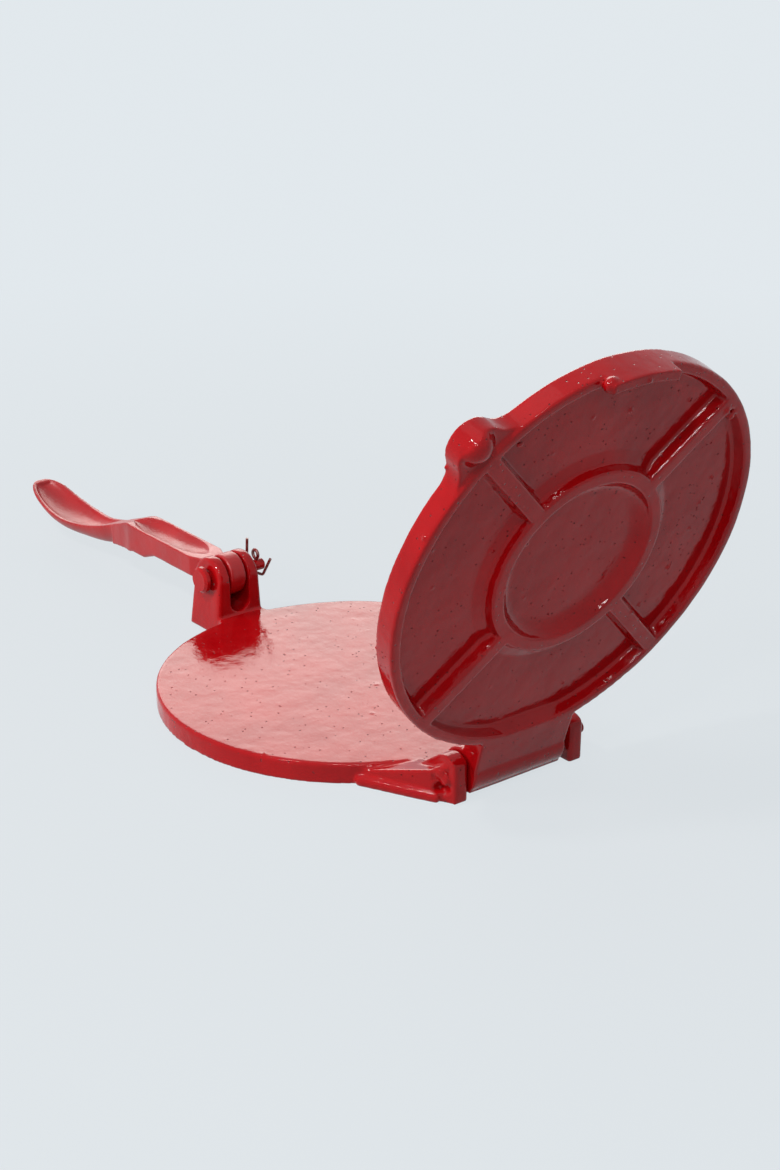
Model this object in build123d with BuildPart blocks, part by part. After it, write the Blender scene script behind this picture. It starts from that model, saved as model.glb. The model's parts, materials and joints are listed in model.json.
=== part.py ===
from build123d import *
import math
import os

os.makedirs("parts", exist_ok=True)

# Tortilla press, lid thrown open and lever swung outward. Millimetres, +Z up,
# hinge toward +Y, lever toward -Y, base standing on Z = 0.

# Shared sizes
plate_radius = 95.0        # round base plate
plate_top = 9.9            # lower pressing face above the table
lid_gap = 0.4              # air left between the two closed pressing faces
lid_inset = 0.2            # lid's edge inside the base's
lid_open_angle = 108.0     # how far the lid is thrown back as stored
hinge_setback = 17.2       # hinge rod axis beyond the plate's edge
hinge_z = 12.1
rod_dia = 6.0
rod_head_dia = 7.8         # peened end on +X
rod_head_length = 1.6
rod_head_soft = 0.9
rod_tail = 4.8             # plain end left standing beyond the ear on -X
lever_setback = 13.0       # lever pin axis beyond the plate's edge
lever_pin_z = 29.2
lever_pin_dia = 6.0
running_clearance = 0.06   # radial, moving casting on its pin
seat_clearance = 0.0       # pins are driven into the fixed castings
stop_gap = 0.35            # lever shoulders to the bracket's rear face
edge_soft = 1.4            # as-cast edge rounding

# Tongue of the lid and the ears it turns between
tongue_half = 26.3
tongue_overrun = 7.0       # tongue's square end beyond the rod axis
barrel_radius = 10.6
ear_width = 8.0
ear_near_gap = 0.7         # tongue to the ear on +X
ear_far_gap = 5.7          # tongue to the ear on -X
ear_overrun = 7.3
ear_radius = 9.5
ear_end_soft = 1.8         # upright corners of the ears' flat ends

# Base casting
base_rim_wall = 4.8
base_web = 4.5
base_ring_width = 8.0
base_rib_width = 6.0
base_boss = 12.0
apron_gap = 0.9            # apron's end to the lid's barrel
cheek_reach = 20.0         # spread of each cheek along the plate's edge
cheek_setback = 17.5       # where a cheek starts, inside the plate's edge
cheek_foot = 5.0
cheek_ledge = 0.8          # wedge set in from the foot
wedge_blunt = 3.6          # wedge's width where it ends over the rod
wedge_undercut = 4.0       # its end leans out over the rod's head
cheek_low = 6.8
cheek_high = 15.6
rod_pocket_radius = 8.6

# Lever bracket
bracket_air = 1.8          # front face beyond the plate's edge
bracket_depth = 27.7
bracket_lean_angle = 7.2   # rear face leans forward from the foot
bracket_foot_half = 14.2
bracket_top_half = 11.7
bracket_crown_z = 27.6     # where the front face turns into the round crown
bracket_soft = 2.2
slot_half = 5.85
slot_floor = 11.4
web_thickness = 4.0        # closes the slot's rear below the lever
web_gap = 2.3              # web's top to the arm's underside

# Lid
lid_thickness = 11.1
lid_floor = 5.2
rim_width = 4.7
rim_draft = 15.0
ring_width = 6.0
ring_cove = 7.5
ring_foot = 6.5
rib_top_width = 7.2
rib_draft = 16.0
pad_left = 19.5
pad_right = 16.5
pad_height = 6.3
pad_depth = 4.8
knob_radius = 7.5
knob_height = 7.4          # dome's centre above the pressing face
knob_cove = 3.6
knob_overhang = 8.5        # dome's centre beyond the lid's edge
knob_angle = -45.0
lug_half = 11.4
lug_flare = 13.0
lug_height = 9.2

# Lever
hub_radius = 10.8
hub_half = 4.6
hub_soft = 1.0
arm_half = 10.0
arm_rise = 5.0             # arm's top above the pin axis
arm_drop = 6.4             # arm's underside below it
arm_length = 82.0          # pin axis to the end of the parallel arm
arm_soft = 1.5
block_length = 14.0
block_ramp = 11.0
block_drop = 4.0           # block below the arm's underside
neck_length = 23.0
neck_drop = 7.4            # fall of the neck's top
waist_half = 7.0
trough_depth = 5.0
trough_wall = 2.4
palm_length = 92.0
palm_half = 12.7
palm_low = 11.7            # lowest point of the palm's rim below the pin axis
palm_rise = 9.9
palm_depth = 13.6
bowl_wall = 2.6
bowl_depth = 5.0

# Palm sections as shares of its length, half width, rise and depth
palm_sections = [
    (0.0, 0.55, 1.0, 1.0),
    (0.14, 0.65, 0.57, 0.85),
    (0.27, 0.76, 0.26, 0.75),
    (0.4, 0.88, 0.06, 0.66),
    (0.54, 0.99, 0.0, 0.64),
    (0.69, 1.0, 0.11, 0.61),
    (0.82, 0.93, 0.36, 0.52),
    (0.92, 0.8, 0.65, 0.46),
    (0.985, 0.58, 0.82, 0.37),
    (1.03, 0.24, 0.92, 0.2),
]

# Trough sections as shares of its length, half width, depth and the neck's fall
trough_sections = [
    (0.0, 0.15, 0.06, 0.0),
    (0.1, 0.72, 0.42, 0.0),
    (0.25, 1.0, 0.8, 0.0),
    (0.5, 1.02, 1.0, 0.0),
    (0.75, 1.0, 1.0, 0.0),
    (0.88, 0.62, 0.75, 0.02),
    (1.0, 0.08, 0.25, 0.3),
]

# Places that follow from the sizes
lid_radius = plate_radius - lid_inset
hinge_y = plate_radius + hinge_setback
lever_pin_y = -(plate_radius + lever_setback)
ear_end_y = hinge_y + ear_overrun
ear_near_x = tongue_half + ear_near_gap
ear_far_x = -(tongue_half + ear_far_gap + ear_width)
bracket_front_y = -(plate_radius + bracket_air)
bracket_rear_y = bracket_front_y - bracket_depth
inside_edge = plate_radius - cheek_setback / 2
past_all = 2 * plate_radius

# Lid plane: origin at the centre of its pressing face, thrown open about the hinge
closed_face_z = plate_top + lid_gap
barrel_height = hinge_z - closed_face_z
lid_frame = Plane(
    Pos(0, hinge_y, hinge_z) * Rot(-lid_open_angle, 0, 0) * Pos(0, -hinge_y, -barrel_height)
)
lid_side = Plane(origin=lid_frame.origin, x_dir=lid_frame.y_dir, z_dir=lid_frame.x_dir)

# Base: round plate, ribbed underneath, with the hinge ears and the lever bracket
with BuildPart() as base_plate:
    with BuildSketch():
        Circle(plate_radius)
    extrude(amount=plate_top)
    fillet(base_plate.faces().sort_by(Axis.Z)[-1].edges(), edge_soft)

    # Relief under the plate: rim, one ring, four spokes and a boss stay full depth
    ring_middle = 0.43 * plate_radius
    with BuildSketch():
        Circle(plate_radius - base_rim_wall)
        Circle(ring_middle + base_ring_width / 2, mode=Mode.SUBTRACT)
        Circle(ring_middle - base_ring_width / 2)
        Circle(base_boss, mode=Mode.SUBTRACT)
        with PolarLocations(plate_radius / 2, 4, start_angle=45):
            Rectangle(plate_radius, base_rib_width, mode=Mode.SUBTRACT)
    extrude(amount=plate_top - base_web, mode=Mode.SUBTRACT)

    # Apron under the lid's tongue
    apron_end_y = hinge_y - barrel_radius - apron_gap
    with BuildSketch():
        with Locations(((ear_near_x + ear_far_x) / 2, (inside_edge + apron_end_y) / 2)):
            Rectangle(ear_near_x - ear_far_x, apron_end_y - inside_edge)
    extrude(amount=plate_top)

    # Hinge ears: flat end, round hump over the rod, straight fall to the plate
    foot_y = plate_radius - 0.2 * ear_radius
    foot_run = hinge_y - foot_y
    foot_drop = hinge_z - plate_top
    foot_span = math.hypot(foot_run, foot_drop)
    tangent = math.atan2(-foot_drop, -foot_run) - math.acos(ear_radius / foot_span)
    hump = (hinge_y + ear_radius * math.cos(tangent), hinge_z + ear_radius * math.sin(tangent))
    for ear_x in (ear_near_x, ear_far_x):
        with BuildSketch(Plane.YZ.offset(ear_x)):
            with Locations((hinge_y, hinge_z)):
                Circle(ear_radius)
            with BuildLine():
                Polyline(
                    (inside_edge, 0), (ear_end_y, 0), (ear_end_y, hinge_z), (hinge_y, hinge_z), hump,
                    (foot_y, plate_top), (inside_edge, plate_top), close=True,
                )
            make_face()
            with Locations((ear_end_y + ear_radius, hinge_z)):
                Rectangle(2 * ear_radius, 4 * ear_radius, mode=Mode.SUBTRACT)
        extrude(amount=ear_width)
    ear_corners = base_plate.edges().filter_by(Axis.Z)
    fillet(ear_corners.filter_by(lambda e: abs(e.center().Y - ear_end_y) < lid_gap), ear_end_soft)

    # Cheeks that spread each ear into the plate: low foot, rising wedge above it
    cheek_start_y = plate_radius - cheek_setback
    cheek_stop_y = hinge_y + 0.1 * ear_radius
    cheek_end_y = ear_end_y - ear_end_soft
    root = ear_width / 2
    for face_x, side in ((ear_near_x + ear_width, 1), (ear_far_x, -1)):
        with BuildSketch():
            with BuildLine():
                Polyline(
                    (face_x, cheek_end_y), (face_x + side * cheek_reach, cheek_start_y),
                    (face_x - side * root, cheek_start_y),
                    (face_x - side * root, cheek_end_y), close=True,
                )
            make_face()
        extrude(amount=cheek_foot)
        inner_x = face_x - side * cheek_ledge
        with BuildSketch() as wedge_plan:
            with BuildLine():
                Polyline(
                    (inner_x + side * wedge_blunt, cheek_stop_y),
                    (inner_x + side * cheek_reach, cheek_start_y),
                    (face_x - side * root, cheek_start_y),
                    (face_x - side * root, cheek_stop_y), close=True,
                )
            make_face()
        wedge = extrude(amount=cheek_high, mode=Mode.PRIVATE)
        with BuildSketch(Plane.YZ.offset(face_x - side * root)):
            with BuildLine():
                Polyline(
                    (cheek_start_y, 0), (cheek_stop_y - wedge_undercut, 0),
                    (cheek_stop_y - wedge_undercut, cheek_foot),
                    (cheek_stop_y, cheek_high - cheek_ledge),
                    (cheek_stop_y - cheek_ledge, cheek_high), (cheek_start_y, cheek_low), close=True,
                )
            make_face()
        slope = extrude(amount=side * (cheek_reach + root), mode=Mode.PRIVATE)
        add(wedge & slope)

    # Pockets for the rod's ends: open behind the wedge on +X, fully bared on -X
    for face_x, side, wedge_kept in ((ear_near_x + ear_width, 1, True), (ear_far_x, -1, False)):
        with BuildSketch(Plane.YZ.offset(face_x)):
            with Locations((hinge_y, hinge_z)):
                Circle(rod_pocket_radius)
            if wedge_kept:
                with Locations((cheek_stop_y - rod_pocket_radius, hinge_z)):
                    Rectangle(2 * rod_pocket_radius, 4 * rod_pocket_radius, mode=Mode.SUBTRACT)
        extrude(amount=side * cheek_reach, mode=Mode.SUBTRACT)
        with BuildSketch(Plane.YZ.offset(face_x)):
            with Locations((hinge_y, hinge_z)):
                Circle(rod_head_dia / 2 + lid_gap)
        extrude(amount=side * (rod_head_length + lid_gap / 2), mode=Mode.SUBTRACT)
    with BuildSketch(Plane.YZ):
        with Locations((hinge_y, hinge_z)):
            Circle(rod_dia / 2 + seat_clearance)
    extrude(amount=past_all, both=True, mode=Mode.SUBTRACT)

    # Lever bracket: leaning block whose crown is tangent to its front and rear faces
    lean = math.radians(bracket_lean_angle)
    crown_room = bracket_depth * math.cos(lean) - bracket_crown_z * math.sin(lean)
    crown_radius = crown_room / (1 + math.cos(lean))
    crown_y = bracket_front_y - crown_radius
    crown_top = bracket_crown_z + crown_radius
    crown_rear = (crown_y - crown_radius * math.cos(lean),
                  bracket_crown_z + crown_radius * math.sin(lean))
    with BuildSketch(Plane.YZ):
        with BuildLine():
            Polyline((bracket_front_y, bracket_crown_z), (bracket_front_y, plate_top),
                     (-inside_edge, plate_top), (-inside_edge, 0), (bracket_rear_y, 0), crown_rear)
            ThreePointArc(crown_rear, (crown_y, crown_top), (bracket_front_y, bracket_crown_z))
        make_face()
    extrude(amount=bracket_foot_half, both=True)
    clear_of_plate = Plane.XZ.offset(-bracket_front_y - bracket_air / 2)
    with BuildSketch(clear_of_plate):
        for side in (1, -1):
            with BuildLine():
                Polyline((side * bracket_foot_half, 0),
                         (side * bracket_top_half, crown_top + edge_soft),
                         (side * 2 * bracket_foot_half, crown_top + edge_soft),
                         (side * 2 * bracket_foot_half, 0), close=True)
            make_face()
    extrude(amount=2 * bracket_depth, mode=Mode.SUBTRACT)
    corners = base_plate.edges().filter_by(lambda e: e.center().Y < bracket_front_y + bracket_air / 4)
    corners = corners.filter_by(lambda e: e.center().Z > plate_top + lid_gap)
    fillet(corners.filter_by(lambda e: abs(e.center().X) > bracket_top_half * 0.9), bracket_soft)
    with BuildSketch(clear_of_plate):
        with Locations((0, slot_floor + slot_half)):
            Circle(slot_half)
        with Locations((0, slot_floor + slot_half + crown_top / 2)):
            Rectangle(2 * slot_half, crown_top)
    extrude(amount=2 * bracket_depth, mode=Mode.SUBTRACT)
    web_top = lever_pin_z - arm_drop - web_gap
    web_rear = bracket_rear_y + math.tan(lean) * web_top
    with BuildSketch(Plane.YZ):
        with BuildLine():
            Polyline((bracket_rear_y, 0), (web_rear, web_top), (web_rear + web_thickness, web_top),
                     (web_rear + web_thickness, 0), close=True)
        make_face()
    extrude(amount=slot_half + edge_soft, both=True)
    with BuildSketch(Plane.YZ):
        with Locations((lever_pin_y, lever_pin_z)):
            Circle(lever_pin_dia / 2 + seat_clearance)
    extrude(amount=2 * bracket_foot_half, both=True, mode=Mode.SUBTRACT)
base_plate.part.label = "base_plate"
export_step(base_plate.part, "parts/base_plate.step")

# Lid: recessed back with rim, ring and diagonal ribs, pad, lift knob and hinge tongue
with BuildPart() as lid_plate:
    recess = lid_thickness - lid_floor
    with BuildSketch(lid_frame):
        Circle(lid_radius)
    extrude(amount=lid_thickness)
    with BuildSketch(lid_frame.offset(lid_thickness)):
        Circle(lid_radius - rim_width)
    extrude(amount=-recess, taper=rim_draft, mode=Mode.SUBTRACT)
    outer_rims = lid_plate.edges().filter_by(GeomType.CIRCLE).group_by(SortBy.LENGTH)[-1]
    fillet(outer_rims, edge_soft)

    # Raised ring, coved on the inside, with a low foot outside
    ring_outer = 0.47 * lid_radius
    ring_inner = ring_outer - ring_width
    cove_start = (ring_inner - ring_cove, lid_floor)
    with BuildSketch(lid_side):
        with BuildLine():
            ThreePointArc(
                cove_start, (ring_inner - 0.35 * ring_cove, lid_floor + 0.32 * recess),
                (ring_inner, lid_thickness),
            )
            Polyline(
                (ring_inner, lid_thickness), (ring_outer, lid_thickness),
                (ring_outer + 0.2 * ring_foot, lid_floor + 0.27 * recess),
                (ring_outer + ring_foot, lid_floor), (ring_outer + ring_foot, lid_floor / 2),
                (ring_inner - ring_cove, lid_floor / 2), cove_start,
            )
        make_face()
    revolve(axis=Axis(lid_frame.origin, lid_frame.z_dir))

    # Four diagonal ribs, drafted, from the ring to the rim
    rib_foot_width = rib_top_width + 2 * recess * math.tan(math.radians(rib_draft))
    rib_start = ring_outer - ring_width / 2
    rib_end = lid_radius - rim_width / 2
    with BuildSketch(lid_frame.offset(lid_floor)):
        with PolarLocations((rib_start + rib_end) / 2, 4, start_angle=45):
            Rectangle(rib_end - rib_start, rib_foot_width)
    extrude(amount=recess, taper=rib_draft)

    # Hinge tongue with its knuckle barrel
    tongue_end_y = hinge_y + tongue_overrun
    with BuildSketch(lid_side.offset(-tongue_half)):
        with BuildLine():
            Polyline((inside_edge, 0), (tongue_end_y, 0), (tongue_end_y, lid_thickness),
                     (inside_edge + recess / 2, lid_thickness), (inside_edge, lid_floor), close=True)
        make_face()
        with Locations((hinge_y, barrel_height)):
            Circle(barrel_radius)
    extrude(amount=2 * tongue_half)

    # Pad the lever bears on, flush with the lid's edge
    with BuildSketch(lid_frame.offset(lid_floor)):
        Circle(lid_radius)
        Circle(lid_radius - pad_depth, mode=Mode.SUBTRACT)
        with Locations(((pad_right - pad_left) / 2, -lid_radius)):
            Rectangle(pad_right + pad_left, lid_radius, mode=Mode.INTERSECT)
    extrude(amount=recess + pad_height)

    # Lift knob: a dome coved into a lug that flares into the rim
    lug_root = lid_radius - 0.3 * lid_inset
    with BuildSketch(lid_frame) as lug:
        Circle(lug_root)
        with PolarLocations(lid_radius + 0.35 * knob_overhang, 1, start_angle=knob_angle):
            Circle(lug_half)
        flares = lug.vertices().filter_by(lambda v: abs(math.hypot(v.X, v.Y) - lug_root) < lid_inset)
        fillet(flares.filter_by(lambda v: v.Y < -lug_half), lug_flare)
        Circle(lid_radius - rim_width, mode=Mode.SUBTRACT)
    extrude(amount=lug_height)
    with BuildSketch(lid_frame):
        with PolarLocations(lid_radius + 0.35 * knob_overhang, 1, start_angle=knob_angle):
            Circle(lug_half - lid_inset)
    lug_column = extrude(amount=3 * lug_height, mode=Mode.PRIVATE)
    knob_turn = math.radians(knob_angle)
    knob_out = lid_radius + knob_overhang
    knob_origin = lid_frame.from_local_coords(
        Vector(knob_out * math.cos(knob_turn), knob_out * math.sin(knob_turn), 0)
    )
    knob_side = Plane(origin=knob_origin, x_dir=lid_frame.x_dir, z_dir=-lid_frame.y_dir)
    cove_foot = lug_height - lid_inset
    cove_rise = cove_foot + knob_cove - knob_height
    cove_reach = math.sqrt((knob_radius + knob_cove) ** 2 - cove_rise**2)
    meeting = math.atan2(cove_rise, cove_reach)
    meet_point = (knob_radius * math.cos(meeting), knob_height + knob_radius * math.sin(meeting))
    half_way = (meeting + math.pi / 2) / 2
    cove_middle = (cove_reach - knob_cove * math.cos(half_way),
                   cove_foot + knob_cove * (1 - math.sin(half_way)))
    dome_middle = (knob_radius * math.cos(half_way), knob_height + knob_radius * math.sin(half_way))
    with BuildSketch(knob_side):
        with BuildLine():
            Polyline((0, knob_height + knob_radius), (0, lug_height / 2), (cove_reach, lug_height / 2),
                     (cove_reach, cove_foot))
            ThreePointArc((cove_reach, cove_foot), cove_middle, meet_point)
            ThreePointArc(meet_point, dome_middle, (0, knob_height + knob_radius))
        make_face()
    mound = revolve(axis=Axis(knob_origin, lid_frame.z_dir), mode=Mode.PRIVATE)
    add(mound & lug_column)

    # Rod bore
    with BuildSketch(lid_side):
        with Locations((hinge_y, barrel_height)):
            Circle(rod_dia / 2 + running_clearance)
    extrude(amount=past_all, both=True, mode=Mode.SUBTRACT)
lid_plate.part.label = "lid_plate"
export_step(lid_plate.part, "parts/lid_plate.step")

# Lever: hub between the bracket ears, troughed arm, waisted neck and dished palm
with BuildPart() as lever:
    arm_top = lever_pin_z + arm_rise
    arm_under = lever_pin_z - arm_drop
    arm_end_y = lever_pin_y - arm_length
    block_start_y = arm_end_y + block_length
    block_under = arm_under - block_drop
    neck_end_y = arm_end_y - neck_length
    hub_join_y = lever_pin_y - 0.55 * hub_radius

    # Side outline of arm, block and neck
    with BuildSketch(Plane.YZ):
        with BuildLine():
            neck_top = Spline(
                (arm_end_y, arm_top), (arm_end_y - 0.43 * neck_length, arm_top - 0.35 * neck_drop),
                (neck_end_y, arm_top - neck_drop), tangents=((-1, 0), (-0.9, -0.36)),
            )
            neck_under = Spline(
                (neck_end_y, block_under - 0.5 * neck_drop),
                (arm_end_y - 0.43 * neck_length, block_under - 0.23 * neck_drop),
                (arm_end_y, block_under - 0.09 * neck_drop),
            )
            Line(neck_top @ 1, neck_under @ 0)
            Polyline(
                neck_under @ 1, (arm_end_y + 0.1 * block_length, block_under),
                (block_start_y, block_under), (block_start_y + block_ramp, arm_under),
                (hub_join_y, arm_under),
                (hub_join_y, arm_top), neck_top @ 0,
            )
        make_face()
    extrude(amount=2 * arm_half, both=True)

    # Plan outline: root inside the slot, shoulders, parallel arm, waist
    shoulder_y = bracket_rear_y + math.tan(lean) * arm_under - stop_gap
    root_half = 0.9 * slot_half
    cheek_half = 1.25 * slot_half
    hub_front_y = lever_pin_y + hub_radius
    with BuildSketch():
        with BuildLine():
            for side in (1, -1):
                Polyline(
                    (side * arm_half, arm_end_y + 0.15 * block_length),
                    (side * arm_half, shoulder_y - 0.7 * arm_half),
                    (side * cheek_half, shoulder_y), (side * root_half, shoulder_y),
                    (side * hub_half, hub_join_y), (side * hub_half, hub_front_y),
                )
                Spline(
                    (side * arm_half, arm_end_y + 0.15 * block_length),
                    (side * 0.86 * arm_half, arm_end_y - 0.26 * neck_length),
                    (side * 1.12 * waist_half, arm_end_y - 0.61 * neck_length),
                    (side * waist_half, neck_end_y), tangents=((0, -1), (0, -1)),
                )
            Line((hub_half, hub_front_y), (-hub_half, hub_front_y))
            Line((waist_half, neck_end_y), (-waist_half, neck_end_y))
        make_face()
    extrude(amount=2 * arm_top, mode=Mode.INTERSECT)
    with BuildSketch(Plane.YZ.offset(-hub_half)):
        with Locations((lever_pin_y, lever_pin_z)):
            Circle(hub_radius)
    extrude(amount=2 * hub_half)
    under = lever.edges().filter_by(lambda e: e.center().Z < arm_under + stop_gap)
    under = under.filter_by(lambda e: arm_end_y - stop_gap < e.center().Y < shoulder_y)
    fillet(under.filter_by(lambda e: e.length > block_drop * 1.4), arm_soft)
    hub_rims = lever.edges().filter_by(GeomType.CIRCLE)
    fillet(hub_rims.filter_by(lambda e: e.center().Y > hub_join_y), hub_soft)

    # Dished palm, lofted through half-ellipse sections
    palm_start_y = neck_end_y + waist_half / 3
    for along, width, rise, deep in palm_sections:
        rim_z = lever_pin_z - palm_low + rise * palm_rise
        section = Plane(
            origin=(0, palm_start_y - along * palm_length, rim_z), x_dir=(1, 0, 0), z_dir=(0, -1, 0)
        )
        with BuildSketch(section):
            Ellipse(width * palm_half, deep * palm_depth)
            with Locations((0, palm_depth)):
                Rectangle(4 * palm_half, 2 * palm_depth, mode=Mode.SUBTRACT)
    loft()
    for along, width, rise, deep in palm_sections[1:-1]:
        rim_z = lever_pin_z - palm_low + rise * palm_rise
        section = Plane(
            origin=(0, palm_start_y - along * palm_length, rim_z), x_dir=(1, 0, 0), z_dir=(0, -1, 0)
        )
        with BuildSketch(section):
            bowl_half = width * palm_half - bowl_wall
            Ellipse(bowl_half, bowl_depth * bowl_half / (palm_half - bowl_wall))
    loft(mode=Mode.SUBTRACT)

    # Scooped trough along the arm's top, pointed toward the neck
    trough_start_y = shoulder_y - 0.5 * arm_half
    trough_length = trough_start_y - arm_end_y + arm_half
    for along, width, deep, sink in trough_sections:
        section = Plane(
            origin=(0, trough_start_y - along * trough_length, arm_top - sink * neck_drop),
            x_dir=(1, 0, 0), z_dir=(0, -1, 0),
        )
        with BuildSketch(section):
            Ellipse(width * (arm_half - trough_wall), deep * trough_depth)
    loft(mode=Mode.SUBTRACT)

    # Pin bore
    with BuildSketch(Plane.YZ):
        with Locations((lever_pin_y, lever_pin_z)):
            Circle(lever_pin_dia / 2 + running_clearance)
    extrude(amount=2 * hub_half, both=True, mode=Mode.SUBTRACT)
lever.part.label = "lever"
export_step(lever.part, "parts/lever.step")

# Hinge rod, peened over outside the ear on +X and left long on -X
rod_near = ear_near_x + ear_width
rod_far = ear_far_x
with BuildPart() as hinge_pin:
    with BuildSketch(Plane.YZ.offset(rod_far - rod_tail)):
        with Locations((hinge_y, hinge_z)):
            Circle(rod_dia / 2)
    extrude(amount=rod_near - rod_far + rod_tail)
    with BuildSketch(Plane.YZ.offset(rod_near)):
        with Locations((hinge_y, hinge_z)):
            Circle(rod_head_dia / 2)
    extrude(amount=rod_head_length)
    fillet(hinge_pin.edges().sort_by(Axis.X)[-1], rod_head_soft)
    fillet(hinge_pin.edges().sort_by(Axis.X)[0], rod_head_soft)
hinge_pin.part.label = "hinge_pin"
export_step(hinge_pin.part, "parts/hinge_pin.step")

# Lever pin: bevelled head on +X, cross hole for the split pin on -X
pin_head_gap = 2.6         # under the head, beside the bracket
pin_head_thick = 3.0
pin_head_dia = 13.6
pin_head_bevel = 1.2
pin_tail = 9.4             # beyond the bracket on -X
split_wire = 1.7
hole_inset = 4.3           # cross hole from the pin's end
ear_face_x = bracket_foot_half - (bracket_foot_half - bracket_top_half) * lever_pin_z / crown_top
pin_head_face = ear_face_x + pin_head_gap + pin_head_thick
pin_end_x = -(ear_face_x + pin_tail)
cross_hole_x = pin_end_x + hole_inset
with BuildPart() as lever_pin:
    with BuildSketch(Plane.YZ.offset(pin_end_x)):
        with Locations((lever_pin_y, lever_pin_z)):
            Circle(lever_pin_dia / 2)
    extrude(amount=pin_head_face - pin_head_thick / 2 - pin_end_x)
    chamfer(lever_pin.edges().sort_by(Axis.X)[0], pin_head_bevel / 2)
    with BuildSketch(Plane.YZ.offset(pin_head_face - pin_head_thick)):
        with Locations((lever_pin_y, lever_pin_z)):
            Circle(pin_head_dia / 2)
    extrude(amount=pin_head_thick)
    chamfer(lever_pin.edges().sort_by(Axis.X)[-1], pin_head_bevel)
    with BuildSketch(Plane.XY.offset(lever_pin_z)):
        with Locations((cross_hole_x, lever_pin_y)):
            Circle(split_wire / 2)
    extrude(amount=lever_pin_dia, both=True, mode=Mode.SUBTRACT)
lever_pin.part.label = "lever_pin"
export_step(lever_pin.part, "parts/lever_pin.step")

# Split pin: eye above the pin, shank through it, two legs swept up on either side
leg_wire = 1.5
eye_radius = 2.3
leg_reach = 8.0
with BuildPart() as split_pin:
    eye_z = lever_pin_z + lever_pin_dia / 2 + eye_radius + split_wire / 2
    leg_z = lever_pin_z - lever_pin_dia / 2 - leg_wire * 0.75
    with Locations((cross_hole_x, lever_pin_y, eye_z)):
        Torus(eye_radius, split_wire / 2, rotation=(0, 90, 0))
    with BuildSketch(Plane.XY.offset(leg_z - leg_wire / 3)):
        with Locations((cross_hole_x, lever_pin_y)):
            Circle(split_wire / 2)
    extrude(amount=eye_z - eye_radius - leg_z + leg_wire / 3)
    leg_plane = Plane(origin=(cross_hole_x, lever_pin_y, leg_z), x_dir=(0, 1, 0), z_dir=(1, 0, 0))
    for knee_out, tip_out, tip_up in ((-1.05, -0.92, 2.1), (0.8, 1.7, 1.45)):
        knee = (knee_out * leg_reach, leg_wire / 2)
        tip = (tip_out * leg_reach, tip_up * leg_reach)
        with BuildLine(leg_plane) as leg:
            FilletPolyline((0, 0), knee, tip, radius=2 * leg_wire)
        with BuildSketch(Plane(origin=leg.line @ 0, z_dir=leg.line % 0)):
            Circle(leg_wire / 2)
        sweep(path=leg.line)
split_pin.part.label = "split_pin"
export_step(split_pin.part, "parts/split_pin.step")
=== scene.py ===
import json
import math

import bpy
import bmesh
from mathutils import Matrix, Vector


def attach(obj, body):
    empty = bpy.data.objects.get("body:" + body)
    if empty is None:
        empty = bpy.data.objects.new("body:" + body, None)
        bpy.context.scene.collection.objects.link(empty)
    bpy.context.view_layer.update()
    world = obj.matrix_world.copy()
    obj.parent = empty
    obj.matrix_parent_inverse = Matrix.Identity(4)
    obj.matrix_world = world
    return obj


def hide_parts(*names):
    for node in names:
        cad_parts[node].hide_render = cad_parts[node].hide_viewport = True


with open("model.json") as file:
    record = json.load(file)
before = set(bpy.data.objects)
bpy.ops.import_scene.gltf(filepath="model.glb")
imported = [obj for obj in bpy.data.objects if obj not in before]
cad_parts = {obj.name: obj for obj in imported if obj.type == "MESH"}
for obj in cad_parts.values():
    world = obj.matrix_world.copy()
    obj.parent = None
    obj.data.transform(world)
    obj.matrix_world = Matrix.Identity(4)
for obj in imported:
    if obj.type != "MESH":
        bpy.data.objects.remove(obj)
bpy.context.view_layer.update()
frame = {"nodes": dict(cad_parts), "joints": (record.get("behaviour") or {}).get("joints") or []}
print("frame loaded:", sorted(frame["nodes"]))

# Finishes

enamelLook = {
    "deepRed": (0.35, 0.001, 0.003),
    "thinRed": (0.44, 0.004, 0.006),
    # painted shade: a darker red that fills the bottom of each pinhole
    "pitShadeRed": (0.10, 0.001, 0.001),
    "toneRange": (0.32, 0.70),     # of the cloud noise, from deep to thin red
    "cloudScale": 28.0,            # per metre
    "roughness": 0.06,
    "polishRange": (0.75, 1.3),    # times the roughness, along the waves
    "gloss": 0.22,
    "refraction": 1.5,
    "grainSize": 1.6,              # mm, sand grain under the enamel
    "peelSize": 9.0,               # mm, slow waves of the flowed enamel
    "grainHeight": 0.08,           # mm, as are the other heights
    "peelHeight": 0.24,
    "pinholeSpacing": 2.4,         # mm
    "pinholeShare": 0.20,          # of the cells, the rest stay smooth
    "pinholeRange": (0.07, 0.22),  # bottom and lip, as shares of the spacing
    "pinholeHeight": 0.22,
}
lidLook = {**enamelLook, "grainHeight": 0.06, "pinholeShare": 0.32}
leverLook = {**enamelLook, "roughness": 0.34, "gloss": 0.62}
pinLook = {**enamelLook, "peelHeight": 0.2, "grainHeight": 0.05}
wireLook = {
    "washRed": (0.20, 0.016, 0.016),
    "bareSteel": (0.30, 0.24, 0.22),
    "stainScale": 260.0,           # per metre
    "stainRange": (0.45, 0.75),    # of the stain noise, from red wash to bare steel
    "roughness": 0.38,
    "metallic": 0.35,
}


def newMaterial(name):
    material = bpy.data.materials.new(name)
    material.use_nodes = True
    tree = material.node_tree
    return material, tree, tree.nodes["Principled BSDF"]


def addNode(tree, kind, x, y, **sockets):
    node = tree.nodes.new(kind)
    node.location = (x, y)
    for socket, value in sockets.items():
        node.inputs[socket.replace("_", " ")].default_value = value
    return node


def addRamp(tree, x, y, span, colors):
    ramp = addNode(tree, "ShaderNodeValToRGB", x, y)
    for element, position, color in zip(ramp.color_ramp.elements, span, colors):
        element.position = position
        element.color = (*color, 1)
    return ramp


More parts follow.
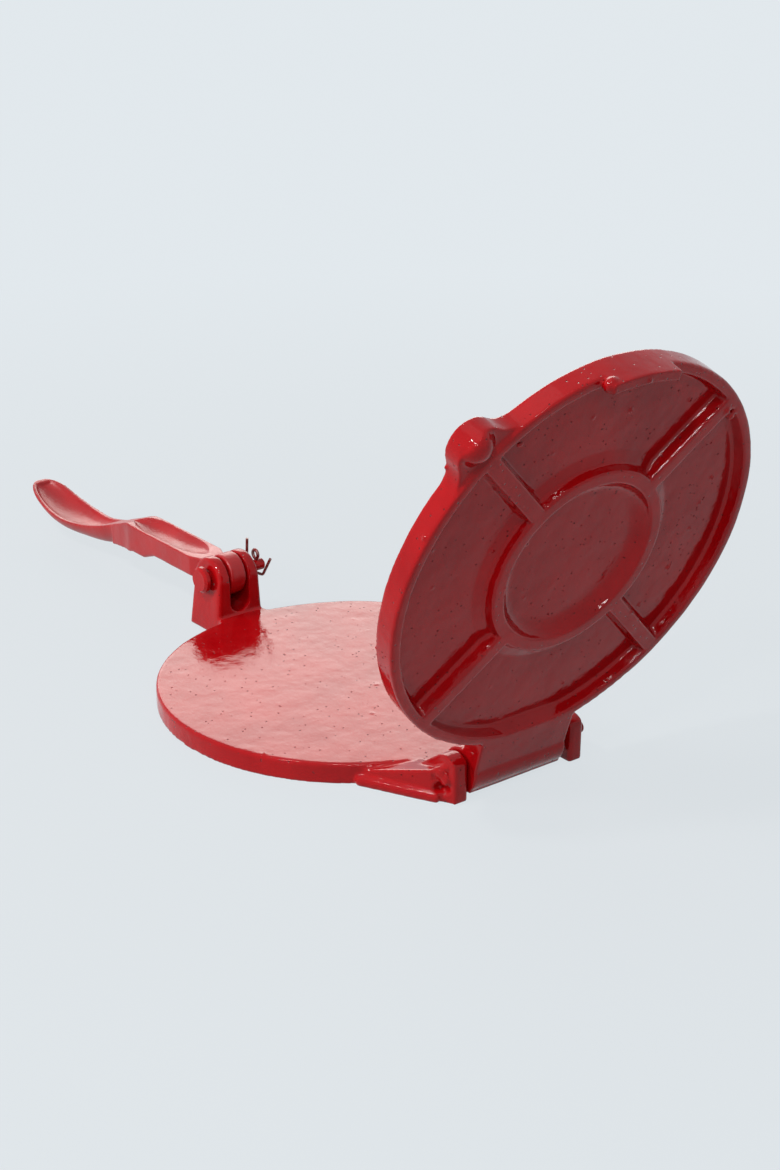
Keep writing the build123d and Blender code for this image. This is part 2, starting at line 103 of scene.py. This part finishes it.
def makeEnamel(name, look, pinholes=True):
    material, tree, shader = newMaterial(name)
    link = tree.links.new
    coord = addNode(tree, "ShaderNodeTexCoord", -1300, 0)
    grain = addNode(tree, "ShaderNodeTexNoise", -1000, 200,
                    Scale=1000 / look["grainSize"], Detail=3.0, Roughness=0.55)
    peel = addNode(tree, "ShaderNodeTexNoise", -1000, -50,
                   Scale=1000 / look["peelSize"], Detail=2.0, Roughness=0.5)
    cloud = addNode(tree, "ShaderNodeTexNoise", -1000, 450,
                    Scale=look["cloudScale"], Detail=3.0, Roughness=0.6)
    for texture in (grain, peel, cloud):
        link(coord.outputs["Object"], texture.inputs["Vector"])
    # the enamel pools darker in some places and runs thin in others
    tone = addRamp(tree, -700, 450, look["toneRange"], (look["deepRed"], look["thinRed"]))
    link(cloud.outputs["Fac"], tone.inputs["Fac"])
    color = tone.outputs["Color"]
    polish = addNode(tree, "ShaderNodeMapRange", -400, 250)
    for limit, factor in zip(("To Min", "To Max"), look["polishRange"]):
        polish.inputs[limit].default_value = look["roughness"] * factor
    link(peel.outputs["Fac"], polish.inputs["Value"])
    link(polish.outputs["Result"], shader.inputs["Roughness"])
    waves = addNode(tree, "ShaderNodeBump", -400, -50,
                    Strength=1.0, Distance=look["peelHeight"] / 1000)
    link(peel.outputs["Fac"], waves.inputs["Height"])
    sand = addNode(tree, "ShaderNodeBump", -200, -150,
                   Strength=1.0, Distance=look["grainHeight"] / 1000)
    link(grain.outputs["Fac"], sand.inputs["Height"])
    link(waves.outputs["Normal"], sand.inputs["Normal"])
    surface = sand
    if pinholes:
        # a cell is either pitted at its middle or pushed out of reach and left smooth
        cells = addNode(tree, "ShaderNodeTexVoronoi", -1000, -350,
                        Scale=1000 / look["pinholeSpacing"], Randomness=1.0)
        link(coord.outputs["Object"], cells.inputs["Vector"])
        chance = addNode(tree, "ShaderNodeSeparateColor", -850, -500)
        smooth = addNode(tree, "ShaderNodeMath", -700, -500)
        smooth.operation = "GREATER_THAN"
        smooth.inputs[1].default_value = look["pinholeShare"]
        reach = addNode(tree, "ShaderNodeMath", -550, -500)
        reach.operation = "ADD"
        link(cells.outputs["Color"], chance.inputs["Color"])
        link(chance.outputs["Red"], smooth.inputs[0])
        link(cells.outputs["Distance"], reach.inputs[0])
        link(smooth.outputs["Value"], reach.inputs[1])
        # the same pit profile sinks each pinhole as a bump and paints shade into it, darker red
        # towards its bottom
        pitAndShade = addNode(tree, "ShaderNodeMapRange", -400, -350)
        for limit, distance in zip(("From Min", "From Max"), look["pinholeRange"]):
            pitAndShade.inputs[limit].default_value = distance
        link(reach.outputs["Value"], pitAndShade.inputs["Value"])
        # sockets 0, 6, 7 and output 2 are the mix node's factor and its colours
        paint = addNode(tree, "ShaderNodeMix", -300, 450)
        paint.data_type = "RGBA"
        paint.inputs[6].default_value = (*look["pitShadeRed"], 1)
        link(pitAndShade.outputs["Result"], paint.inputs[0])
        link(tone.outputs["Color"], paint.inputs[7])
        color = paint.outputs[2]
        holes = addNode(tree, "ShaderNodeBump", 0, -250,
                        Strength=1.0, Distance=look["pinholeHeight"] / 1000)
        link(pitAndShade.outputs["Result"], holes.inputs["Height"])
        link(sand.outputs["Normal"], holes.inputs["Normal"])
        surface = holes
    link(color, shader.inputs["Base Color"])
    link(surface.outputs["Normal"], shader.inputs["Normal"])
    shader.inputs["IOR"].default_value = look["refraction"]
    shader.inputs["Specular IOR Level"].default_value = look["gloss"]
    return material


def makeWire(look):
    material, tree, shader = newMaterial("stainedWire")
    link = tree.links.new
    coord = addNode(tree, "ShaderNodeTexCoord", -900, 0)
    stain = addNode(tree, "ShaderNodeTexNoise", -700, 0, Scale=look["stainScale"], Detail=2.0)
    link(coord.outputs["Object"], stain.inputs["Vector"])
    tone = addRamp(tree, -450, 0, look["stainRange"], (look["washRed"], look["bareSteel"]))
    link(stain.outputs["Fac"], tone.inputs["Fac"])
    link(tone.outputs["Color"], shader.inputs["Base Color"])
    shader.inputs["Roughness"].default_value = look["roughness"]
    shader.inputs["Metallic"].default_value = look["metallic"]
    return material


redEnamel = makeEnamel("redEnamel", enamelLook)
lidEnamel = makeEnamel("lidEnamel", lidLook)
leverEnamel = makeEnamel("leverEnamel", leverLook, pinholes=False)
pinEnamel = makeEnamel("pinEnamel", pinLook, pinholes=False)
stainedWire = makeWire(wireLook)
print("finishes made")

# Casting skin: enamel beads strewn on the metal, then a soft uneven skin over all of it

beadSpread = (0.45, 1.25)    # smallest and largest bead, times the bead radius
skinLevel = 0.62             # noise value that neither lifts nor sinks the skin
proudLimit = 0.001           # metres, what stands farther out than this is another face


def groupInput(tree, name, kind):
    return tree.interface.new_socket(name=name, in_out="INPUT", socket_type=kind).identifier


def makeBeadTree():
    tree = bpy.data.node_groups.new("enamelBeads", "GeometryNodeTree")
    groupInput(tree, "Geometry", "NodeSocketGeometry")
    keys = {
        "density": groupInput(tree, "Beads per square metre", "NodeSocketFloat"),
        "size": groupInput(tree, "Bead radius", "NodeSocketFloat"),
        "seed": groupInput(tree, "Seed", "NodeSocketInt"),
        "finish": groupInput(tree, "Finish", "NodeSocketMaterial"),
    }
    tree.interface.new_socket(name="Geometry", in_out="OUTPUT", socket_type="NodeSocketGeometry")
    link = tree.links.new
    source = tree.nodes.new("NodeGroupInput")
    strew = tree.nodes.new("GeometryNodeDistributePointsOnFaces")
    bead = tree.nodes.new("GeometryNodeMeshIcoSphere")
    bead.inputs["Radius"].default_value = 1.0
    bead.inputs["Subdivisions"].default_value = 2
    spread = tree.nodes.new("FunctionNodeRandomValue")
    for limit, factor in zip(("Min", "Max"), beadSpread):
        spread.inputs[limit].default_value = factor
    scaled = tree.nodes.new("ShaderNodeMath")
    scaled.operation = "MULTIPLY"
    place = tree.nodes.new("GeometryNodeInstanceOnPoints")
    join = tree.nodes.new("GeometryNodeJoinGeometry")
    realize = tree.nodes.new("GeometryNodeRealizeInstances")
    paint = tree.nodes.new("GeometryNodeSetMaterial")
    sink = tree.nodes.new("NodeGroupOutput")
    link(source.outputs["Geometry"], strew.inputs["Mesh"])
    link(source.outputs["Beads per square metre"], strew.inputs["Density"])
    link(source.outputs["Seed"], strew.inputs["Seed"])
    link(source.outputs["Seed"], spread.inputs["Seed"])
    link(spread.outputs[1], scaled.inputs[0])
    link(source.outputs["Bead radius"], scaled.inputs[1])
    link(strew.outputs["Points"], place.inputs["Points"])
    link(bead.outputs["Mesh"], place.inputs["Instance"])
    link(scaled.outputs["Value"], place.inputs["Scale"])
    link(source.outputs["Geometry"], join.inputs["Geometry"])
    link(place.outputs["Instances"], join.inputs["Geometry"])
    link(join.outputs["Geometry"], realize.inputs["Geometry"])
    link(realize.outputs["Geometry"], paint.inputs["Geometry"])
    link(source.outputs["Finish"], paint.inputs["Material"])
    link(paint.outputs["Geometry"], sink.inputs["Geometry"])
    return tree, keys


def makeSkinTree():
    tree = bpy.data.node_groups.new("castSkin", "GeometryNodeTree")
    groupInput(tree, "Geometry", "NodeSocketGeometry")
    keys = {
        "waveSize": groupInput(tree, "Wave size", "NodeSocketFloat"),
        "waveHeight": groupInput(tree, "Wave height", "NodeSocketFloat"),
        "lumpSize": groupInput(tree, "Lump size", "NodeSocketFloat"),
        "lumpHeight": groupInput(tree, "Lump height", "NodeSocketFloat"),
        "finish": groupInput(tree, "Finish", "NodeSocketMaterial"),
    }
    tree.interface.new_socket(name="Geometry", in_out="OUTPUT", socket_type="NodeSocketGeometry")
    link = tree.links.new
    source = tree.nodes.new("NodeGroupInput")
    place = tree.nodes.new("GeometryNodeInputPosition")
    normal = tree.nodes.new("GeometryNodeInputNormal")
    total = None
    for sizeName, heightName in (("Wave size", "Wave height"), ("Lump size", "Lump height")):
        scale = tree.nodes.new("ShaderNodeMath")
        scale.operation = "DIVIDE"
        scale.inputs[0].default_value = 1.0
        link(source.outputs[sizeName], scale.inputs[1])
        noise = tree.nodes.new("ShaderNodeTexNoise")
        noise.inputs["Detail"].default_value = 1.5
        link(place.outputs["Position"], noise.inputs["Vector"])
        link(scale.outputs["Value"], noise.inputs["Scale"])
        lower = tree.nodes.new("ShaderNodeMath")
        lower.operation = "SUBTRACT"
        lower.inputs[1].default_value = skinLevel
        link(noise.outputs["Fac"], lower.inputs[0])
        height = tree.nodes.new("ShaderNodeMath")
        height.operation = "MULTIPLY"
        link(lower.outputs["Value"], height.inputs[0])
        link(source.outputs[heightName], height.inputs[1])
        if total is None:
            total = height
        else:
            both = tree.nodes.new("ShaderNodeMath")
            both.operation = "ADD"
            link(total.outputs["Value"], both.inputs[0])
            link(height.outputs["Value"], both.inputs[1])
            total = both
    push = tree.nodes.new("ShaderNodeVectorMath")
    push.operation = "SCALE"
    link(normal.outputs["Normal"], push.inputs["Vector"])
    link(total.outputs["Value"], push.inputs["Scale"])
    move = tree.nodes.new("GeometryNodeSetPosition")
    smooth = tree.nodes.new("GeometryNodeSetShadeSmooth")
    realize = tree.nodes.new("GeometryNodeRealizeInstances")
    paint = tree.nodes.new("GeometryNodeSetMaterial")
    sink = tree.nodes.new("NodeGroupOutput")
    link(source.outputs["Geometry"], move.inputs["Geometry"])
    link(push.outputs["Vector"], move.inputs["Offset"])
    link(move.outputs["Geometry"], smooth.inputs["Geometry"])
    link(smooth.outputs["Geometry"], realize.inputs["Geometry"])
    link(realize.outputs["Geometry"], paint.inputs["Geometry"])
    link(source.outputs["Finish"], paint.inputs["Material"])
    link(paint.outputs["Geometry"], sink.inputs["Geometry"])
    return tree, keys


beadTree, beadKeys = makeBeadTree()
skinTree, skinKeys = makeSkinTree()


def addTree(piece, tree, keys, values):
    modifier = piece.modifiers.new(tree.name, "NODES")
    modifier.node_group = tree
    for name, value in values.items():
        modifier[keys[name]] = value


def mergedCopy(nodeName, name):
    mesh = frame["nodes"][nodeName].data.copy()
    work = bmesh.new()
    work.from_mesh(mesh)
    bmesh.ops.remove_doubles(work, verts=work.verts, dist=1e-6)
    work.to_mesh(mesh)
    work.free()
    mesh.materials.clear()
    piece = bpy.data.objects.new(name, mesh)
    bpy.context.scene.collection.objects.link(piece)
    return piece


def freeze(piece):
    graph = bpy.context.evaluated_depsgraph_get()
    mesh = bpy.data.meshes.new_from_object(piece.evaluated_get(graph), depsgraph=graph)
    piece.modifiers.clear()
    piece.data = mesh


def addBlobs(piece, blobs):
    work = bmesh.new()
    work.from_mesh(piece.data)
    for place, radius, stretch in blobs:
        shape = Matrix.Translation(place) @ Matrix.Diagonal((*[radius * s for s in stretch], 1))
        bmesh.ops.create_uvsphere(work, u_segments=16, v_segments=10, radius=1.0, matrix=shape)
    work.to_mesh(piece.data)
    work.free()


def keepFlat(piece, height, metalSide, reach):
    # no bead or wave stands out past this height, within reach of the plate's centre
    for vertex in piece.data.vertices:
        proud = (height - vertex.co.z) * metalSide
        if 0 < proud < proudLimit and vertex.co.xy.length < reach:
            vertex.co.z = height


def castPiece(nodeName, name, body, sizes, finish, blobs=(), runs=(), turn=Matrix()):
    # turn is how the piece stands. It lies flat while its blobs and its skin's grid are made
    piece = mergedCopy(nodeName, name)
    piece.data.transform(turn.inverted())
    if blobs:
        addBlobs(piece, blobs)
    addTree(piece, beadTree, beadKeys, {
        "density": sizes["beadDensity"], "size": sizes["beadRadius"], "seed": sizes["seed"],
        "finish": finish})
    if runs:
        # these take no beads, since beads on overlapping lumps give a skin that varies between
        # renders
        freeze(piece)
        addBlobs(piece, runs)
    remesh = piece.modifiers.new("skin", "REMESH")
    remesh.mode = "VOXEL"
    remesh.voxel_size = sizes["voxel"]
    relax = piece.modifiers.new("flow", "SMOOTH")
    relax.factor = 0.5
    relax.iterations = sizes["flow"]
    addTree(piece, skinTree, skinKeys, {
        "waveSize": sizes["waveSize"], "waveHeight": sizes["waveHeight"],
        "lumpSize": sizes["lumpSize"], "lumpHeight": sizes["lumpHeight"], "finish": finish})
    freeze(piece)
    fine = len(piece.data.polygons) * 2
    if fine > sizes["triangles"]:
        thin = piece.modifiers.new("thin", "DECIMATE")
        thin.ratio = sizes["triangles"] / fine
        freeze(piece)
    for flat in sizes["flats"]:
        keepFlat(piece, **flat)
    piece.data.transform(turn)
    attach(piece, body)
    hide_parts(nodeName)
    triangles = sum(len(polygon.vertices) - 2 for polygon in piece.data.polygons)
    print(name, "made,", triangles, "triangles")


# Lengths in metres. A flat is a face that rests or presses: its height, the side of it
# that the metal is on, 1 above and -1 below, and how far it reaches
baseSkin = {
    "voxel": 0.00065,
    "flow": 8,
    "beadDensity": 500.0,
    "beadRadius": 0.0007,
    "seed": 5,
    "waveSize": 0.022,
    "waveHeight": 0.0004,
    "lumpSize": 0.006,
    "lumpHeight": 0.00018,
    "triangles": 180000,
    "flats": [
        {"height": 0.01008, "metalSide": -1, "reach": 0.090},
        {"height": 0.0, "metalSide": 1, "reach": 0.5},
    ],
}
lidSkin = {
    "voxel": 0.0006,
    "flow": 4,
    "beadDensity": 800.0,
    "beadRadius": 0.0008,
    "seed": 11,
    "waveSize": 0.024,
    "waveHeight": 0.0005,
    "lumpSize": 0.007,
    "lumpHeight": 0.00025,
    "triangles": 180000,
    "flats": [{"height": 0.01013, "metalSide": 1, "reach": 0.095}],
}
leverSkin = {
    "voxel": 0.0005,
    "flow": 16,
    "beadDensity": 300.0,
    "beadRadius": 0.0006,
    "seed": 7,
    "waveSize": 0.016,
    "waveHeight": 0.0003,
    "lumpSize": 0.005,
    "lumpHeight": 0.00015,
    "triangles": 150000,
    "flats": [],
}

lidHinge = next(joint for joint in frame["joints"] if joint["name"] == "lid_hinge")
lidOpenAngle = math.radians(lidHinge["range_deg"][1])
hingeAxis = Matrix.Translation(lidHinge["pos_m"])
lidTurn = hingeAxis @ Matrix.Rotation(-lidOpenAngle, 4, "X") @ hingeAxis.inverted()

# Enamel that ran and set: place with the lid closed, radius, stretch along x, y and z
lidBlobs = [
    ((0.0150, -0.0912, 0.0243), 0.0038, (1.10, 0.90, 0.80)),
    ((-0.0625, -0.0605, 0.0205), 0.0021, (1.0, 1.2, 0.9)),
    ((-0.0662, -0.0570, 0.0206), 0.0019, (1.2, 1.0, 0.9)),
    ((0.0505, -0.0690, 0.0192), 0.0016, (1.3, 0.9, 0.6)),
]

# The same on the base, over the hinge rod's head
rodHeadX = max(corner[0] for corner in frame["nodes"]["hinge_pin"].bound_box)
rodY, rodZ = lidHinge["pos_m"][1:]
baseBlobs = [
    ((rodHeadX, rodY - 0.0014, rodZ + 0.0012), 0.0036, (0.60, 1.10, 0.85)),
    ((rodHeadX - 0.0004, rodY + 0.0016, rodZ - 0.0012), 0.0032, (0.45, 1.0, 1.0)),
    ((rodHeadX - 0.0012, rodY + 0.0010, rodZ + 0.0042), 0.0018, (0.6, 1.4, 0.8)),
]

# Enamel gathered along the foot of the near cheek, from the plate's edge to the ear
footRun = {
    "start": (0.0556, 0.0782),
    "end": (0.0390, 0.1112),
    "z": 0.0021,
    "radius": 0.0027,
    "lumps": 26,
    "swell": 0.66,         # stretch along x, mean
    "swellChange": 0.06,   # and what it varies by
    "swellRate": 1.7,      # radians a lump
    "lengthwise": 0.9,
}
footLumps = []
for step in range(footRun["lumps"]):
    share = step / (footRun["lumps"] - 1)
    x, y = (a + (b - a) * share for a, b in zip(footRun["start"], footRun["end"]))
    swell = footRun["swell"] + footRun["swellChange"] * math.sin(footRun["swellRate"] * step)
    stretch = (swell, footRun["lengthwise"], 1.0)
    footLumps.append(((x, y, footRun["z"]), footRun["radius"], stretch))

castPiece("base_plate", "baseCasting", "base", baseSkin, redEnamel, baseBlobs, footLumps)
castPiece("lid_plate", "lidCasting", "lid", lidSkin, lidEnamel, blobs=lidBlobs, turn=lidTurn)
castPiece("lever", "leverCasting", "lever", leverSkin, leverEnamel)

pinFinishes = {"hinge_pin": pinEnamel, "lever_pin": pinEnamel, "split_pin": stainedWire}
for nodeName, finish in pinFinishes.items():
    node = frame["nodes"][nodeName]
    node.data.materials.clear()
    node.data.materials.append(finish)
print("pins finished")

# Stage: pale floor and backdrop, softboxes, camera

stageLook = {
    "paper": (0.76, 0.81, 0.845),
    "floorBounce": (0.52, 0.51, 0.50),
    "floorGlow": 0.87,     # share of the paper tone near the object, all of it past fadeEnd
    "fadeStart": 0.22,     # metres from the middle of the floor
    "fadeEnd": 0.85,
    "worldLight": 0.25,    # share of the paper tone that lights the object
    "floorSize": 8.0,
    "floorDrop": 0.0002,   # below the object's standing face
    "floorRoughness": 0.9,
}


def seenRays(tree, x, y):
    # 1 for rays that show a thing, straight or in a gloss, and 0 for those that light it
    rays = addNode(tree, "ShaderNodeLightPath", x - 400, y)
    last = rays.outputs["Is Camera Ray"]
    for index, kind in enumerate(("Is Glossy Ray", "Is Transmission Ray")):
        either = addNode(tree, "ShaderNodeMath", x - 200 + 200 * index, y)
        either.operation = "MAXIMUM"
        tree.links.new(last, either.inputs[0])
        tree.links.new(rays.outputs[kind], either.inputs[1])
        last = either.outputs["Value"]
    return either


def makeFloor(look):
    mesh = bpy.data.meshes.new("floor")
    half = look["floorSize"] / 2
    sides = ((-1, -1), (1, -1), (1, 1), (-1, 1))
    corners = [(x * half, y * half, -look["floorDrop"]) for x, y in sides]
    mesh.from_pydata(corners, [], [(0, 1, 2, 3)])
    floor = bpy.data.objects.new("floor", mesh)
    bpy.context.scene.collection.objects.link(floor)
    material, tree, shader = newMaterial("paperFloor")
    link = tree.links.new
    shader.inputs["Base Color"].default_value = (*look["floorBounce"], 1)
    shader.inputs["Roughness"].default_value = look["floorRoughness"]
    shader.inputs["Specular IOR Level"].default_value = 0.0
    glow = addNode(tree, "ShaderNodeEmission", -100, 300, Color=(*look["paper"], 1), Strength=1.0)
    seen = seenRays(tree, -500, 500)
    coord = addNode(tree, "ShaderNodeTexCoord", -900, 200)
    away = addNode(tree, "ShaderNodeVectorMath", -700, 200)
    away.operation = "LENGTH"
    fade = addNode(tree, "ShaderNodeMapRange", -500, 200)
    fade.inputs["From Min"].default_value = look["fadeStart"]
    fade.inputs["From Max"].default_value = look["fadeEnd"]
    fade.inputs["To Min"].default_value = look["floorGlow"]
    share = addNode(tree, "ShaderNodeMath", -250, 500)
    share.operation = "MULTIPLY"
    mix = addNode(tree, "ShaderNodeMixShader", 200, 300)
    link(coord.outputs["Object"], away.inputs[0])
    link(away.outputs["Value"], fade.inputs["Value"])
    link(fade.outputs["Result"], share.inputs[1])
    link(seen.outputs["Value"], share.inputs[0])
    link(share.outputs["Value"], mix.inputs["Fac"])
    link(shader.outputs["BSDF"], mix.inputs[1])
    link(glow.outputs["Emission"], mix.inputs[2])
    link(mix.outputs["Shader"], tree.nodes["Material Output"].inputs["Surface"])
    mesh.materials.append(material)


def makeWorld(look):
    world = bpy.data.worlds.new("studio")
    bpy.context.scene.world = world
    world.use_nodes = True
    tree = world.node_tree
    back = tree.nodes["Background"]
    seen = seenRays(tree, -600, 200)
    level = addNode(tree, "ShaderNodeMapRange", -200, 200)
    level.inputs["To Min"].default_value = look["worldLight"]
    level.inputs["To Max"].default_value = 1.0
    tree.links.new(seen.outputs["Value"], level.inputs["Value"])
    tree.links.new(level.outputs["Result"], back.inputs["Strength"])
    back.inputs["Color"].default_value = (*look["paper"], 1)


def outward(azimuth, elevation):
    turn, rise = math.radians(azimuth), math.radians(elevation)
    flat = math.cos(rise)
    return Vector((math.sin(turn) * flat, -math.cos(turn) * flat, math.sin(rise)))


def makeSoftbox(name, azimuth, elevation, distance, width, height, watts,
                tint=(1, 1, 1), mirrored=True):
    lamp = bpy.data.lights.new(name, "AREA")
    lamp.shape = "RECTANGLE"
    lamp.size = width
    lamp.size_y = height
    lamp.energy = watts
    lamp.color = tint
    holder = bpy.data.objects.new(name, lamp)
    away = outward(azimuth, elevation)
    holder.location = Vector(softboxAim) + away * distance
    holder.rotation_euler = away.to_track_quat("Z", "Y").to_euler()
    holder.visible_glossy = mirrored
    bpy.context.scene.collection.objects.link(holder)


# Azimuth is the side a lamp or the camera stands on: 0 is -Y, 90 is +X, 180 is +Y.
# A lamp that isn't mirrored lights the press but doesn't show in its gloss
softboxAim = (0, 0.02, 0.05)
softboxes = {
    "backWall": {"azimuth": 328, "elevation": 22, "distance": 1.5, "width": 1.10, "height": 0.66,
                 "watts": 8.4, "tint": (1.0, 0.95, 0.88)},
    "overhead": {"azimuth": 90, "elevation": 80, "distance": 1.4, "width": 0.8, "height": 0.8,
                 "watts": 1.0},
    "leftKey": {"azimuth": 91, "elevation": 54, "distance": 1.3, "width": 0.13, "height": 0.13,
                "watts": 6.2},
    "secondKey": {"azimuth": 152, "elevation": 63, "distance": 1.3, "width": 0.13, "height": 0.13,
                  "watts": 1.0},
    "glintLamp": {"azimuth": 132, "elevation": 45, "distance": 1.3, "width": 0.10, "height": 0.10,
                  "watts": 2.3},
    "ringLamp": {"azimuth": 147, "elevation": 36, "distance": 1.3, "width": 0.08, "height": 0.08,
                 "watts": 1.1},
    "sideFill": {"azimuth": 62, "elevation": 22, "distance": 1.4, "width": 0.5, "height": 0.4,
                 "watts": 9.6, "mirrored": False},
}
makeFloor(stageLook)
makeWorld(stageLook)
for name, box in softboxes.items():
    makeSoftbox(name, **box)

cameraPlace = {
    "azimuth": 142.29,     # degrees round from -Y
    "elevation": 22.02,
    "roll": -0.13,
    "distance": 1.02794,   # metres from the framed point
    "right": 0.01758,      # framed point beside and above the base's centre
    "up": 0.05256,
    "lens": 65.34,         # mm, on a sensor this wide
    "sensor": 36.0,
}


def makeCamera(place):
    back = outward(place["azimuth"], place["elevation"])
    right = Vector((0, 0, 1)).cross(back).normalized()
    up = back.cross(right)
    roll = Matrix.Rotation(math.radians(place["roll"]), 3, back)
    right, up = roll @ right, roll @ up
    lens = bpy.data.cameras.new("camera")
    lens.lens = place["lens"]
    lens.sensor_width = place["sensor"]
    lens.sensor_fit = "AUTO"
    camera = bpy.data.objects.new("camera", lens)
    spot = back * place["distance"] + right * place["right"] + up * place["up"]
    turnMatrix = Matrix((right, up, back)).transposed().to_4x4()
    camera.matrix_world = Matrix.Translation(spot) @ turnMatrix
    bpy.context.scene.collection.objects.link(camera)
    bpy.context.scene.camera = camera


makeCamera(cameraPlace)
bpy.context.scene.view_settings.view_transform = "Standard"
print("stage set")
